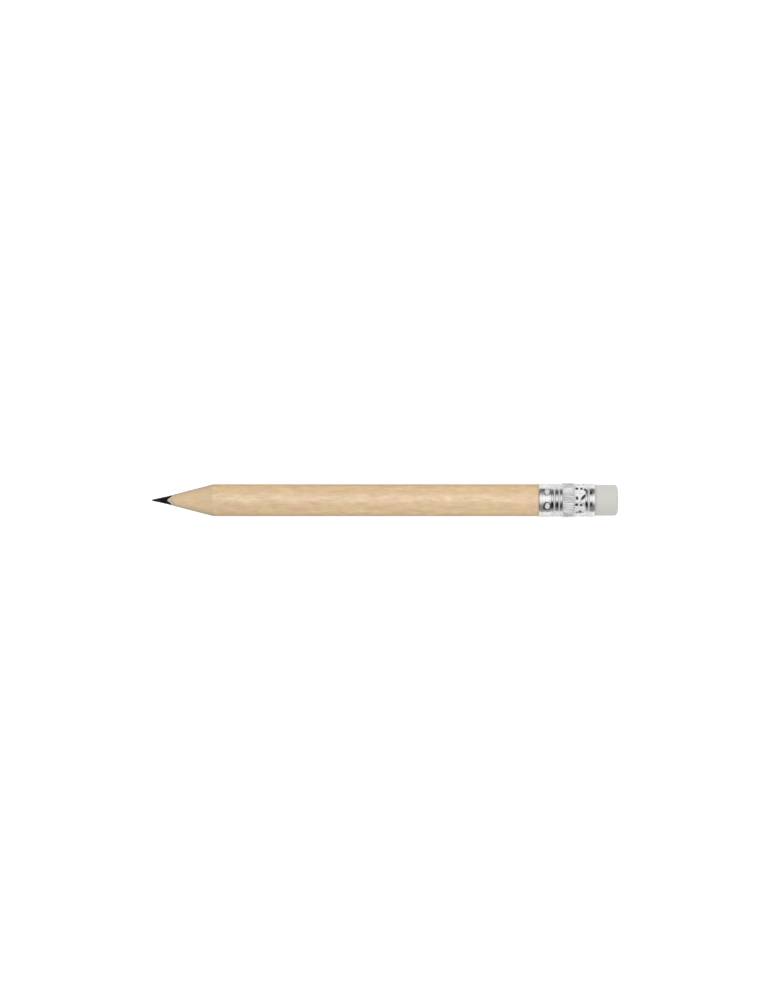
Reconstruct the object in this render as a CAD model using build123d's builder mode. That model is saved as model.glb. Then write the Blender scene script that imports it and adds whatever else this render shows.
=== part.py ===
"""Short round graphite pencil with a crimped aluminium ferrule and a plug eraser.

The pencil lies along X, writing point at -X and eraser at +X, resting on the
plane Z = 0. The origin is on that plane, under the middle of the overall length.
Distances along the pencil ("station") are counted from the writing point;
distances called u are counted from the ferrule's front rim.
Units: millimetres and degrees.
"""

from build123d import *
from collections import namedtuple
from math import cos, radians, sin, tan
import os

os.makedirs("parts", exist_ok=True)

# ---------------------------------------------------------------- dimensions
overall_length = 101.7

# wood barrel
barrel_r = 3.50
wood_start = 2.0           # station of the front end of the wood
cone_base = 13.45          # station where the sharpened cone meets the barrel
cone_half_angle = 14.5
barrel_end = 84.38         # station of the shoulder in front of the ferrule
shoulder_chamfer = 0.04
tenon_end = 90.70          # station of the back end of the wood, inside the ferrule
tenon_chamfer = 0.20

# the two slats meet on a glue plane a little below the barrel axis, because
# the barrel was turned slightly off the centre of the glued sandwich
glue_plane_drop = 0.22

# graphite core
core_r = 1.10
core_nose_r = 0.14         # slightly rounded writing point
nose_mid_angle = 38.0      # where the nose arc's middle point is taken, from the tip
core_relief = 0.055        # sharpened lead stands this far under the wood cone
core_cone_end = 7.0        # the lead's conical envelope turns straight here,
                           # already wider than the lead itself

# glue film
film = 0.04
tenon_film_r = 3.10        # the film stops short of the crimped tenon's surface

# ferrule, a formed tube
ferrule_start = 84.40
ferrule_length = 12.30
wall = 0.24                # at the front rim
bore_taper = 0.0016        # the drawn tube's bore narrows this much per mm
tube_r = 3.66              # plain outside radius
rim_chamfer = 0.07         # outside, at both rims
band_start, band_end = 1.05, 2.50
band_rise = 0.02           # the dimpled front band stands this far proud

# reeded band
reed_r = 3.76              # crest radius
reed_start, reed_end = 5.12, 7.62
reed_count = 40
reed_cut_r = 0.16          # radius of the cutter that forms each valley
reed_cut_rise = 0.05       # height of the cutter's centre above the crests
reed_cut_overrun = 0.02    # the cutter runs this far past each end of the band

# beads rolled around the tube: first and last u, and height of the middle
# above the surface (negative where the metal goes inward)
Bead = namedtuple("Bead", "start end rise")

bore_front_bead = Bead(2.60, 3.08, -0.13)
bore_second_bead = Bead(3.62, 4.14, -0.12)
bore_rear_bead = Bead(9.96, 10.64, -0.13)

outer_front_beads = [
    Bead(2.50, 3.18, -0.16),
    Bead(3.18, 3.62, 0.06),
    Bead(3.62, 4.14, -0.15),
    Bead(4.14, 4.62, 0.06),
    Bead(4.62, 5.06, -0.11),
]
outer_rear_beads = [
    Bead(9.94, 10.66, -0.16),
    Bead(10.66, 11.02, 0.06),
]
# low ridge directly behind the reeded band; it starts just under the tube's surface
ridge = Bead(7.70, 8.04, 0.07)
ridge_start_drop = 0.03

# punched locking dimples: two rings, one biting the wood, one the eraser;
# each is a round, flat-bottomed dent with sloping sides
punch_taper = 0.74         # widening of a dent's radius per mm of height
dent_height = 0.7          # punch height, enough to clear the tube outside
bump_height = 0.5          # punch height, enough to clear the bore
wood_ring_u = 1.80
wood_ring_floor_r = 0.42   # radius of the dents' floors
wood_ring_bump_r = wood_ring_floor_r + 0.08
wood_ring_depth = 0.22     # depth of the floors under the tube's plain surface
wood_ring_angles = [32.0, -22.5, -84.0, -145.0, -206.0, -267.0]
eraser_ring_u = 9.02
eraser_ring_floor_r = 0.70
eraser_ring_bump_r = eraser_ring_floor_r + 0.06
eraser_ring_depth = 0.15
eraser_ring_angles = [24.0, -29.0, -91.0, -153.0, -215.0, -277.0]

# eraser plug
eraser_r = 3.41            # the plug swells a touch where the tube lets go of it
eraser_start = 91.00       # station of the plug's inner end
eraser_chamfer = 0.25      # at the inner end
eraser_round = 0.85        # at the outer end

# ------------------------------------------------------------- derived values
axis_z = reed_r            # the pencil rests on its reeded band
ferrule_end = ferrule_start + ferrule_length
tenon_u = tenon_end - ferrule_start
eraser_u = eraser_start - ferrule_start
tip_x = -overall_length / 2
groove_r = core_r + film
groove_start = wood_start - 1.0   # lengthwise sections of the wood begin clear of it
core_section_start = -1.0         # clear of the writing point

# profile plane: local x runs along the pencil from the tip, local y is radius
profile_plane = Plane(origin=(tip_x, 0, axis_z), x_dir=(1, 0, 0), z_dir=(0, -1, 0))
pencil_axis = Axis((tip_x, 0, axis_z), (1, 0, 0))
glue_plane = Plane(
    origin=(0, 0, axis_z - glue_plane_drop), x_dir=(1, 0, 0), z_dir=(0, 0, 1)
)


# ------------------------------------------------------------------- helpers
def station_plane(station):
    """Plane square to the pencil at a station, its local x along +Y and local y up."""
    return Plane(
        origin=(tip_x + station, 0, axis_z), x_dir=(0, 1, 0), z_dir=(1, 0, 0)
    )


def wood_cone_r(station):
    """Radius of the sharpened wood cone at a station."""
    return barrel_r - tan(radians(cone_half_angle)) * (cone_base - station)


def bore_point(u, rise=0.0):
    """Profile point on the ferrule's bore, or rise away from it (negative is inward)."""
    return (ferrule_start + u, tube_r - wall - bore_taper * u + rise)


def tube_point(u, rise=0.0):
    """Profile point on the tube's plain outside, or rise above it."""
    return (ferrule_start + u, tube_r + rise)


def bead_arc(surface_point, bead, start_rise=0.0):
    """Arc of a bead on the bore or the outside, drawn in the active line."""
    middle = (bead.start + bead.end) / 2
    ThreePointArc(
        surface_point(bead.start, start_rise),
        surface_point(middle, bead.rise),
        surface_point(bead.end),
    )


def front_bore_beads():
    """The bore's two front beads and the straight between them, in the active line."""
    bead_arc(bore_point, bore_front_bead)
    Line(bore_point(bore_front_bead.end), bore_point(bore_second_bead.start))
    bead_arc(bore_point, bore_second_bead)


def punch_planes(u, angles, floor_radius):
    """Planes at the floors of one ring of dents, facing outward."""
    planes = []
    for angle in angles:
        out_y, out_z = sin(radians(angle)), cos(radians(angle))
        planes.append(
            Plane(
                origin=(
                    tip_x + ferrule_start + u,
                    floor_radius * out_y,
                    axis_z + floor_radius * out_z,
                ),
                x_dir=(1, 0, 0),
                z_dir=(0, out_y, out_z),
            )
        )
    return planes


def punch(radius, height):
    """Cut a tapered punch, standing on its floor, from the active part."""
    Cone(
        bottom_radius=radius,
        top_radius=radius + punch_taper * height,
        height=height,
        align=(Align.CENTER, Align.CENTER, Align.MIN),
        mode=Mode.SUBTRACT,
    )


# dents are the outside of the dimples, bumps the metal they push into the bore
wood_floor = tube_r - wood_ring_depth
eraser_floor = tube_r - eraser_ring_depth
wood_dents = punch_planes(wood_ring_u, wood_ring_angles, wood_floor)
wood_bumps = punch_planes(wood_ring_u, wood_ring_angles, wood_floor - wall)
eraser_dents = punch_planes(eraser_ring_u, eraser_ring_angles, eraser_floor)
eraser_bumps = punch_planes(eraser_ring_u, eraser_ring_angles, eraser_floor - wall)

# --------------------------------------------------------- inside of the ferrule
# The bore follows the rolled beads, less the bumps of the dimples; the wood tenon
# and the root of the eraser are pressed into this space when the tube is crimped.
with BuildPart() as filled_space:
    with BuildSketch(profile_plane):
        with BuildLine():
            Polyline(
                (ferrule_start, 0),
                bore_point(0),
                bore_point(bore_front_bead.start),
            )
            front_bore_beads()
            Line(bore_point(bore_second_bead.end), bore_point(bore_rear_bead.start))
            bead_arc(bore_point, bore_rear_bead)
            Polyline(
                bore_point(bore_rear_bead.end),
                bore_point(ferrule_length),
                (ferrule_end, 0),
                (ferrule_start, 0),
            )
        make_face()
    revolve(axis=pencil_axis)
    with Locations(*wood_bumps):
        punch(wood_ring_bump_r, bump_height)
    with Locations(*eraser_bumps):
        punch(eraser_ring_bump_r, bump_height)

# ------------------------------------------------------------------- ferrule
with BuildPart() as ferrule:
    with BuildSketch(profile_plane):
        with BuildLine():
            Polyline(
                tube_point(0, -rim_chamfer),
                tube_point(rim_chamfer),
                tube_point(band_start),
                tube_point(band_start, band_rise),
                tube_point(band_end, band_rise),
                tube_point(band_end),
            )
            for bead in outer_front_beads:
                bead_arc(tube_point, bead)
            Polyline(
                tube_point(outer_front_beads[-1].end),
                (ferrule_start + reed_start, reed_r),
                (ferrule_start + reed_end, reed_r),
                tube_point(ridge.start, -ridge_start_drop),
            )
            bead_arc(tube_point, ridge, -ridge_start_drop)
            Line(tube_point(ridge.end), tube_point(outer_rear_beads[0].start))
            for bead in outer_rear_beads:
                bead_arc(tube_point, bead)
            Polyline(
                tube_point(outer_rear_beads[-1].end),
                tube_point(ferrule_length - rim_chamfer),
                tube_point(ferrule_length, -rim_chamfer),
                (ferrule_end, 0),
                (ferrule_start, 0),
                tube_point(0, -rim_chamfer),
            )
        make_face()
    revolve(axis=pencil_axis)
    # open the tube, leaving the metal that beads and dimples push inward
    add(filled_space.part, mode=Mode.SUBTRACT)
    # reeded band: round-bottomed valleys along the pencil
    with BuildSketch(station_plane(ferrule_start + reed_start - reed_cut_overrun)):
        with PolarLocations(
            reed_r + reed_cut_rise, reed_count, start_angle=180 / reed_count
        ):
            Circle(reed_cut_r)
    extrude(amount=reed_end - reed_start + 2 * reed_cut_overrun, mode=Mode.SUBTRACT)
    with Locations(*wood_dents):
        punch(wood_ring_floor_r, dent_height)
    with Locations(*eraser_dents):
        punch(eraser_ring_floor_r, dent_height)

# -------------------------------------------------------------- wood blank
# Cone and barrel up to the shoulder, shared by the wood and the glue film
barrel_outline = [
    (wood_start, 0),
    (wood_start, wood_cone_r(wood_start)),
    (cone_base, barrel_r),
    (barrel_end - shoulder_chamfer, barrel_r),
    (barrel_end, barrel_r - shoulder_chamfer),
]

# Barrel, sharpened cone and the tenon pressed into the ferrule, before the
# groove for the core and the glue line are taken out.
with BuildPart() as blank:
    with BuildSketch(profile_plane):
        with BuildLine():
            Polyline(
                *barrel_outline,
                bore_point(barrel_end - ferrule_start),
                bore_point(bore_front_bead.start),
            )
            front_bore_beads()
            Polyline(
                bore_point(bore_second_bead.end),
                bore_point(tenon_u - tenon_chamfer),
                bore_point(tenon_u, -tenon_chamfer),
                (tenon_end, 0),
                (wood_start, 0),
            )
        make_face()
    revolve(axis=pencil_axis)
    with Locations(*wood_bumps):
        punch(wood_ring_bump_r, bump_height)


# --------------------------------------------------------------------- slats
def make_slat(face_offset, keep):
    """One side of the blank, cut at an offset from the glue plane and grooved."""
    with BuildPart() as slat:
        add(blank.part)
        split(bisect_by=glue_plane.offset(face_offset), keep=keep)
        with BuildSketch(station_plane(groove_start)):
            with Locations((0, -glue_plane_drop)):
                Circle(groove_r)
        extrude(amount=overall_length, mode=Mode.SUBTRACT)
    return slat.part


upper_slat = make_slat(film / 2, Keep.TOP)
lower_slat = make_slat(-film / 2, Keep.BOTTOM)

# ------------------------------------------------------------- graphite core
core_envelope_r = wood_cone_r(core_cone_end) - core_relief
nose_middle = (
    core_nose_r * (1 - cos(radians(nose_mid_angle))),
    core_nose_r * sin(radians(nose_mid_angle)),
)
nose_end = (
    core_nose_r * (1 - sin(radians(cone_half_angle))),
    core_nose_r * cos(radians(cone_half_angle)),
)

with BuildPart() as graphite_core:
    with BuildSketch(profile_plane):
        with BuildLine():
            ThreePointArc((0, 0), nose_middle, nose_end)
            Polyline(
                nose_end,
                (core_cone_end, core_envelope_r),
                (tenon_end, core_envelope_r),
                (tenon_end, 0),
                (0, 0),
            )
        make_face()
    revolve(axis=pencil_axis)
    # the round lead is centred on the glue plane
    with BuildSketch(station_plane(core_section_start), mode=Mode.PRIVATE) as lead_round:
        with Locations((0, -glue_plane_drop)):
            Circle(core_r)
    extrude(lead_round.sketch, amount=overall_length, mode=Mode.INTERSECT)

# ----------------------------------------------------------------- glue film
# Hardened glue: a thin sheet between the slats that opens into a sleeve around
# the core.
with BuildPart() as glue_line:
    with BuildSketch(profile_plane):
        with BuildLine():
            Polyline(
                *barrel_outline,
                (barrel_end, tenon_film_r),
                (tenon_end, tenon_film_r),
                (tenon_end, 0),
                (wood_start, 0),
            )
        make_face()
    revolve(axis=pencil_axis)
    with BuildSketch(station_plane(groove_start), mode=Mode.PRIVATE) as film_section:
        with Locations((0, -glue_plane_drop)):
            Rectangle(3 * barrel_r, film)  # wider than the barrel
            Circle(groove_r)
            Circle(core_r, mode=Mode.SUBTRACT)
    extrude(film_section.sketch, amount=overall_length, mode=Mode.INTERSECT)

# -------------------------------------------------------------------- eraser
with BuildPart() as eraser:
    with BuildSketch(profile_plane):
        with BuildLine():
            Polyline(
                (eraser_start, 0),
                bore_point(eraser_u, -eraser_chamfer),
                bore_point(eraser_u + eraser_chamfer),
                bore_point(bore_rear_bead.start),
            )
            bead_arc(bore_point, bore_rear_bead)
            Polyline(
                bore_point(bore_rear_bead.end),
                bore_point(ferrule_length),
                (ferrule_end, eraser_r),
                (overall_length, eraser_r),
                (overall_length, 0),
                (eraser_start, 0),
            )
        make_face()
    revolve(axis=pencil_axis)
    fillet(
        eraser.edges().filter_by(GeomType.CIRCLE).sort_by(Axis.X)[-1],
        radius=eraser_round,
    )
    with Locations(*eraser_bumps):
        punch(eraser_ring_bump_r, bump_height)

# -------------------------------------------------------------------- export
pieces = {
    "upper_slat": upper_slat,
    "lower_slat": lower_slat,
    "graphite_core": graphite_core.part,
    "glue_line": glue_line.part,
    "ferrule": ferrule.part,
    "eraser": eraser.part,
}
for name, piece in pieces.items():
    piece.label = name
    export_step(piece, f"parts/{name}.step")
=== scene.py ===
"""Looks for the short round graphite pencil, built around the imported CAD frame.

Lengths in this script are millimetres until a mesh is made, then metres.
"station" is the distance from the writing point along the pencil.
"""

import math

import bmesh
import bpy
import numpy as np
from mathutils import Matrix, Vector, noise


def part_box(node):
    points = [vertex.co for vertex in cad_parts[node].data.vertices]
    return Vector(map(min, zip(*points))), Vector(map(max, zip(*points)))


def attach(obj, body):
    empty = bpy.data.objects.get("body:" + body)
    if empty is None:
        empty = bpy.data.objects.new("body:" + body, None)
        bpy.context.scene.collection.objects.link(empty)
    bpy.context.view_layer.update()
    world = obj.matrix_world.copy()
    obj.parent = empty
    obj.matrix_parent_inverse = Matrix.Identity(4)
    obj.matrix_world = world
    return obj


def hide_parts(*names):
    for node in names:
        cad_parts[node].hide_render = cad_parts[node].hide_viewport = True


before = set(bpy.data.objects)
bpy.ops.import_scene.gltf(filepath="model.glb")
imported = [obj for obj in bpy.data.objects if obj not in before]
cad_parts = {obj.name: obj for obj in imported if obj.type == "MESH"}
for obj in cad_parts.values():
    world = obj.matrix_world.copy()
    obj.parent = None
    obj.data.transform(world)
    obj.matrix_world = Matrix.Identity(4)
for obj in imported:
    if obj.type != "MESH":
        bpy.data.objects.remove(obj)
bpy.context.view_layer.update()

# ------------------------------------------------------------------ the frame
MM = 0.001
TAU = 2.0 * math.pi


def mm_box(node):
    lo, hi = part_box(node)
    return np.array(lo) / MM, np.array(hi) / MM


TIP = mm_box("graphite_core")[0][0]
up_lo, up_hi = mm_box("upper_slat")
lo_lo, lo_hi = mm_box("lower_slat")
fe_lo, fe_hi = mm_box("ferrule")
er_lo, er_hi = mm_box("eraser")
co_lo, co_hi = mm_box("graphite_core")

BARREL_R = (up_hi[1] - up_lo[1]) / 2
AXIS_Z = up_hi[2] - BARREL_R
TENON_END = up_hi[0] - TIP
FER_START = fe_lo[0] - TIP
FER_END = fe_hi[0] - TIP
FER_LEN = FER_END - FER_START
REED_R = (fe_hi[1] - fe_lo[1]) / 2
ERASER_START = er_lo[0] - TIP
LENGTH = er_hi[0] - TIP
ERASER_R = (er_hi[1] - er_lo[1]) / 2 - 0.008
CORE_R = (co_hi[1] - co_lo[1]) / 2
DROP = AXIS_Z - (co_lo[2] + CORE_R)       # the glue plane lies this far below the axis
GROOVE_R = CORE_R + 0.04
HALF_FILM = 0.02
CONE_BASE = 13.45
SLOPE = math.tan(math.radians(14.5))
SHOULDER = FER_START - 0.02

RNG = np.random.RandomState(7)


# ----------------------------------------------------------------- small maths
def smooth(t):
    t = np.clip(t, 0.0, 1.0)
    return t * t * (3 - 2 * t)


def step(x, a, b):
    return smooth((np.asarray(x, float) - a) / (b - a))


def wander(theta, seed, harmonics, amplitude):
    """A repeatable smooth wander round a circle, between -amplitude and amplitude."""
    r = np.random.RandomState(seed)
    out = np.zeros_like(theta)
    total = 0.0
    for k in harmonics:
        a = 1.0 / k ** 0.6
        out += a * np.sin(k * theta + r.uniform(0, TAU))
        total += a
    return amplitude * out / total


def field(points, scale, offset, octaves=2):
    """Smooth noise, about -1 to 1, at each point; scale is per axis, in waves per mm."""
    q = np.asarray(points, float).reshape(-1, 3) * np.asarray(scale, float) + offset
    out = np.empty(len(q))
    for i, v in enumerate(q):
        total, amp, f = 0.0, 1.0, 1.0
        for _ in range(octaves):
            total += amp * noise.noise(Vector((v[0] * f, v[1] * f, v[2] * f)))
            amp *= 0.5
            f *= 2.1
        out[i] = total
    return out.reshape(np.asarray(points).shape[:-1])


def lane(u, pts):
    """Smooth profile through (u, radius) points, level at each of them."""
    u = np.asarray(u, float)
    us = np.array([p[0] for p in pts])
    rs = np.array([p[1] for p in pts])
    k = np.clip(np.searchsorted(us, u, side="right") - 1, 0, len(us) - 2)
    t = (u - us[k]) / (us[k + 1] - us[k])
    return rs[k] + (rs[k + 1] - rs[k]) * smooth(t)


# ------------------------------------------------------------------ mesh tools
class Shell:
    """Collects grids of points and their faces into one closed mesh."""

    def __init__(self):
        self.points, self.quads, self.uvs, self.count = [], [], [], 0
        self.extra = {}

    def add(self, p, **attributes):
        p = np.asarray(p, float)
        flat = p.reshape(-1, 3)
        index = self.count + np.arange(len(flat)).reshape(p.shape[:-1])
        for name in set(self.extra) | set(attributes):
            have = self.extra.setdefault(name, [np.zeros(self.count)])
            value = attributes.get(name)
            have.append(np.zeros(len(flat)) if value is None else
                        np.broadcast_to(value, p.shape[:-1]).reshape(-1).astype(float))
        self.points.append(flat)
        self.count += len(flat)
        return index

    def skin(self, index, rect, strips=1, closed=False):
        """Quads over a rows by columns index grid; rect is its place in the UV square.
        The rows are laid out in that many strips, one above the other."""
        index = np.asarray(index)
        if closed:
            index = np.concatenate([index, index[:, :1]], axis=1)
        rows, cols = index.shape
        u0, v0, u1, v1 = rect
        cuts = np.linspace(0, rows - 1, strips + 1).round().astype(int)
        for k in range(strips):
            a, b = cuts[k], cuts[k + 1]
            if b <= a:
                continue
            i = np.arange(a, b)[:, None]
            j = np.arange(cols - 1)[None, :]
            quad = np.stack([index[i, j], index[i + 1, j], index[i + 1, j + 1], index[i, j + 1]], -1)
            height = (v1 - v0) / strips
            low = v0 + k * height
            pad = 0.06 * height

            def uv(ii, jj):
                u = u0 + (u1 - u0) * (ii - a) / (b - a)
                v = low + pad + (height - 2 * pad) * jj / (cols - 1)
                return np.stack(np.broadcast_arrays(u, v), -1)

            corner = np.stack([uv(i, j), uv(i + 1, j), uv(i + 1, j + 1), uv(i, j + 1)], -2)
            self.quads.append(quad.reshape(-1, 4))
            self.uvs.append(corner.reshape(-1, 4, 2))

    def skin_by_length(self, index, rect, strips, lengths, closed=False):
        """As skin, but the strips and the run inside each follow the rows' own lengths."""
        index = np.asarray(index)
        if closed:
            index = np.concatenate([index, index[:, :1]], axis=1)
        rows, cols = index.shape
        u0, v0, u1, v1 = rect
        run = np.asarray(lengths, float)
        marks = np.linspace(run[0], run[-1], strips + 1)
        cuts = [int(np.abs(run - m).argmin()) for m in marks]
        for k in range(strips):
            a, b = cuts[k], cuts[k + 1]
            i = np.arange(a, b)[:, None]
            j = np.arange(cols - 1)[None, :]
            quad = np.stack([index[i, j], index[i + 1, j], index[i + 1, j + 1], index[i, j + 1]], -1)
            height = (v1 - v0) / strips
            low = v0 + k * height
            pad = 0.04 * height

            def uv(ii, jj):
                u = u0 + (u1 - u0) * (run[ii] - run[a]) / (run[b] - run[a])
                v = low + pad + (height - 2 * pad) * jj / (cols - 1)
                return np.stack(np.broadcast_arrays(u, v), -1)

            corner = np.stack([uv(i, j), uv(i + 1, j), uv(i + 1, j + 1), uv(i, j + 1)], -2)
            self.quads.append(quad.reshape(-1, 4))
            self.uvs.append(corner.reshape(-1, 4, 2))

    def build(self, name, sharp=None):
        pts = np.concatenate(self.points)
        pts = pts + np.array([TIP, 0.0, AXIS_Z])
        quads = np.concatenate(self.quads)
        uvs = np.concatenate(self.uvs)
        mesh = bpy.data.meshes.new(name)
        faces, corners = [], []
        for q, t in zip(quads.tolist(), uvs.tolist()):
            f, c = [], []
            for v, uv in zip(q, t):
                if v not in f:
                    f.append(v)
                    c.append(uv)
            if len(f) > 2:
                faces.append(f)
                corners.extend(c)
        mesh.from_pydata((pts * MM).tolist(), [], faces)
        layer = mesh.uv_layers.new(name="OFBake")
        layer.data.foreach_set("uv", np.array(corners, np.float32).ravel())
        for key, parts in self.extra.items():
            a = mesh.attributes.new(key, "FLOAT", "POINT")
            a.data.foreach_set("value", np.concatenate(parts).astype(np.float32))
        bm = bmesh.new()
        bm.from_mesh(mesh)
        bmesh.ops.recalc_face_normals(bm, faces=bm.faces)
        open_edges = [e for e in bm.edges if len(e.link_faces) != 2]
        if open_edges:
            raise RuntimeError(f"{name} has {len(open_edges)} open edges")
        bm.to_mesh(mesh)
        bm.free()
        mesh.polygons.foreach_set("use_smooth", [True] * len(mesh.polygons))
        if sharp:
            mesh.set_sharp_from_angle(angle=math.radians(sharp))
        mesh.update()
        obj = bpy.data.objects.new(name, mesh)
        bpy.context.scene.collection.objects.link(obj)
        return obj


# ------------------------------------------------------------ shared outlines
def cone_r(s):
    """Radius of the whittled wood at a station, before the barrel's own radius."""
    return BARREL_R - SLOPE * (CONE_BASE - np.asarray(s, float))


def cone_s(r):
    return CONE_BASE - (BARREL_R - np.asarray(r, float)) / SLOPE


RING_1 = (1.80, [32.0, -22.5, -84.0, -145.0, -206.0, -267.0])
RING_2 = (9.02, [24.0, -29.0, -91.0, -153.0, -215.0, -277.0])
PLAIN_R = 3.635

OUTLINE = [
    (0.00, 3.545), (0.10, 3.602), (0.62, 3.654), (1.16, 3.606), (1.24, 3.606),
    (1.50, 3.668), (2.22, 3.668), (2.48, 3.618), (2.56, 3.612), (2.74, 3.455),
    (2.98, 3.455), (3.16, 3.612), (3.20, 3.622), (3.34, 3.672), (3.48, 3.622),
    (3.52, 3.612), (3.70, 3.455), (4.02, 3.455), (4.20, 3.612), (4.24, 3.622),
    (4.38, 3.668), (4.52, 3.622), (4.56, 3.612), (4.72, 3.500), (4.92, 3.500),
    (5.14, 3.748), (7.60, 3.748), (7.70, 3.585), (7.86, 3.692), (8.02, 3.618),
    (8.22, 3.634), (9.88, 3.634), (10.02, 3.612), (10.20, 3.450), (10.42, 3.450),
    (10.60, 3.612), (10.66, 3.622), (10.84, 3.680), (11.02, 3.606), (11.12, 3.600),
    (11.66, 3.652), (12.20, 3.600), (12.30, 3.545),
]
BORE = [
    (0.00, 3.412), (2.50, 3.408), (2.74, 3.300), (2.98, 3.300), (3.20, 3.408),
    (3.48, 3.406), (3.70, 3.300), (4.02, 3.300), (4.22, 3.406), (9.86, 3.402),
    (9.98, 3.396), (10.20, 3.290), (10.42, 3.290), (10.64, 3.400), (12.30, 3.400),
]

# a dimple's depth by distance from its middle: a dished floor inside a bitten ring
PUNCH_1 = [(0.0, 0.150), (0.26, 0.125), (0.48, 0.110), (0.68, 0.225), (0.88, 0.0), (9.0, 0.0)]
PUNCH_2 = [(0.0, 0.128), (0.40, 0.104), (0.78, 0.062), (1.26, 0.0), (9.0, 0.0)]
# the second ring's punch bites with separate teeth: place along and round, the two
# half widths, lean, strength; the first two dimples are worn their own way
TEETH = {
    0: [(-0.82, 1.24, 0.30, 0.28, 0.0, 1.45), (0.16, 1.24, 0.30, 0.26, 0.0, 1.35),
        (0.98, 0.92, 0.28, 0.30, 0.5, 1.1), (0.58, -0.84, 0.76, 0.28, 0.89, 1.8),
        (-0.80, -1.08, 0.26, 0.40, 0.0, 1.5), (0.06, 0.02, 0.26, 0.13, 0.3, 0.34)],
    1: [(-0.90, 0.80, 0.36, 0.26, 0.0, 1.5), (0.12, 0.74, 0.32, 0.26, 0.0, 1.4),
        (0.84, 0.62, 0.18, 0.16, 0.0, 0.4), (-0.10, -0.94, 0.40, 0.36, 0.30, 0.95),
        (-0.74, -1.22, 0.30, 0.28, 0.0, 0.75), (0.52, -1.14, 0.24, 0.22, 0.0, 0.45)],
}


def arc_gap(theta, degrees):
    return (theta - math.radians(degrees) + math.pi) % TAU - math.pi


def teeth(ring, k):
    if k in TEETH:
        return TEETH[k]
    r = np.random.RandomState(5070 + 13 * ring + k)
    out, tall = [], r.uniform(0.95, 1.20)
    for j in range(6):
        a = TAU * (j + r.uniform(-0.18, 0.18)) / 6 + r.uniform(0, 0.4)
        out.append((0.92 * math.cos(a), tall * math.sin(a), r.uniform(0.20, 0.42), r.uniform(0.20, 0.30),
                    r.uniform(-0.6, 0.9), r.choice([0.45, 1.0, 1.3, 1.45])))
    return out


def dimples(u, theta):
    """For each point of the ferrule: how far the punch pushed it in, how deep in the
    bitten ring it lies, how far inside the ring, and the push on the metal's inner side."""
    shape = np.broadcast(u, theta).shape
    push, bite, floor, inner = (np.zeros(shape) for _ in range(4))
    for ring, (station, angles) in enumerate((RING_1, RING_2)):
        for k, deg in enumerate(angles):
            r = np.random.RandomState(911 + ring * 31 + k)
            lean = r.uniform(-0.10, 0.10)
            round_by = ((1.14, 1.30, 1.20, 1.12, 1.18, 1.16), (1.26, 0.98, 1.10, 1.16, 1.05, 1.12))[ring][k]
            du = u - station - r.uniform(-0.04, 0.04)
            dv = arc_gap(theta, deg) * PLAIN_R
            q = np.hypot(du + lean * dv, dv / round_by)
            phi = np.arctan2(dv / round_by, du)
            uneven = 1 + 0.035 * np.sin(2 * phi + r.uniform(0, TAU)) + 0.02 * np.sin(5 * phi + r.uniform(0, TAU))
            q = q * uneven
            near = (np.abs(du) < 1.7) & (np.abs(dv) < 2.2)
            if ring == 0:
                side = 0.5 + 0.5 * np.cos(phi - (-0.3, -2.2, 1.0, 2.0, 4.0, 5.0)[k])
                d = lane(q, PUNCH_1) * (0.82 + 0.18 * side)
                b = np.exp(-((q - 0.69) / 0.135) ** 2) * (0.50 + 0.50 * side) * (0.30, 1.15, 0.8, 1.0, 0.9, 0.6)[k]
                f = (1 - step(q, 0.46, 0.60)) * (0.70, 0.72, 0.6, 0.5, 0.7, 0.6)[k]
                i = 0.165 * (1 - step(q, 0.50, 0.98))
            else:
                d = lane(q, PUNCH_2)
                b = 0.05 * np.exp(-((q - 0.93) / 0.10) ** 2)
                for tu, tv, wu, wv, tilt, amount in teeth(ring, k):
                    c, n = math.cos(tilt), math.sin(tilt)
                    eu, ev = du - tu, dv - tv
                    a1, a2 = (eu * c + ev * n) / wu, (ev * c - eu * n) / wv
                    spot = np.exp(-(a1 * a1 + a2 * a2) ** 1.4)
                    b = np.maximum(b, amount * spot)
                    d = d + 0.050 * min(amount, 1.1) * spot
                f = (1 - step(q, 1.08, 1.40)) * (1.0, 0.85, 0.60, 0.50, 0.66, 0.58)[k]
                i = 0.110 * (1 - step(q, 0.55, 1.15))
            push = np.where(near, np.maximum(push, d), push)
            bite = np.where(near, np.maximum(bite, b), bite)
            floor = np.where(near, np.maximum(floor, f), floor)
            inner = np.where(near, np.maximum(inner, i), inner)
    return push, np.clip(bite, 0, 1), floor, inner


def bore(u, theta):
    """Radius of the ferrule's inside, which the wood and the rubber fill."""
    return lane(u, BORE) - dimples(u, theta)[3]


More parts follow.
